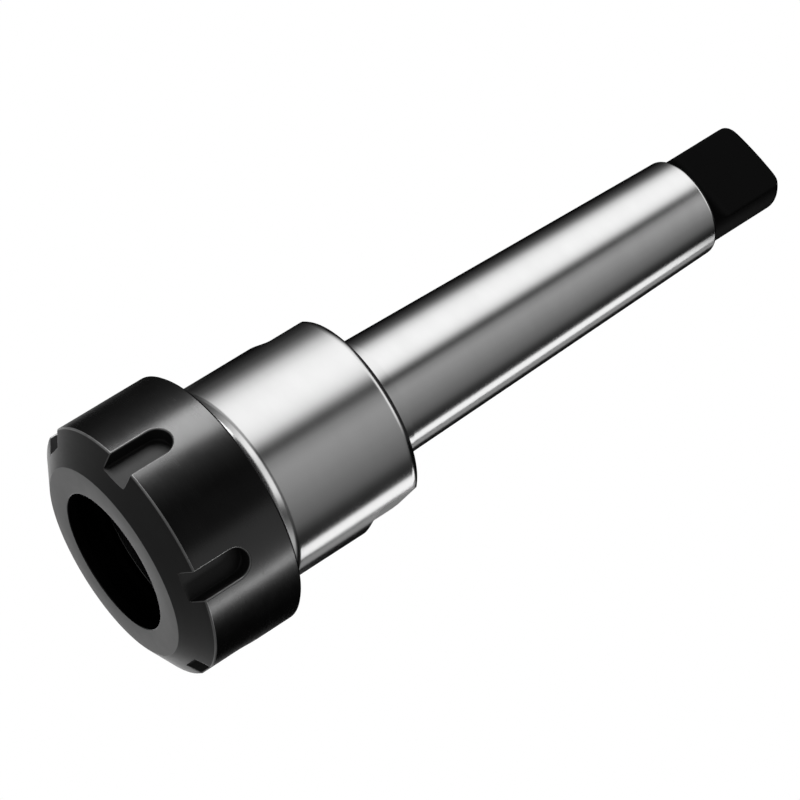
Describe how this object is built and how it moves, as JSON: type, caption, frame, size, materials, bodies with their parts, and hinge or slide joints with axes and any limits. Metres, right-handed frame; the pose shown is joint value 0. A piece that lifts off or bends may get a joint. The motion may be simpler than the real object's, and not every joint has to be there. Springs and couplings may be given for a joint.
{
  "type": "collet chuck holder",
  "caption": "Collet chuck on a Morse taper: tanged taper shank, round body with wrench flats, and a slotted clamping nut screwed over the collet seat.",
  "frame": {"origin": "centre of the nut's front face, on the surface that the chuck stands on", "axes": "+Z along the axis from the nut to the tang; +X square to one wrench flat of the body"},
  "size_m": [0.05, 0.05, 0.1528],
  "materials": {
    "ground_steel": "ground and lightly oiled, with a fine turned grain",
    "black_oxide": "satin black oxide on turned steel"
  },
  "bodies": {
    "chuck_body": {"chuck_body": "ground_steel"},
    "clamping_nut": {"clamping_nut": "black_oxide"}
  },
  "joints": [
    {"name": "nut_unscrew", "type": "slide", "parent": "chuck_body", "child": "clamping_nut", "axis": [0, 0, -1], "range_m": [0, 0.0135]}
  ]
}
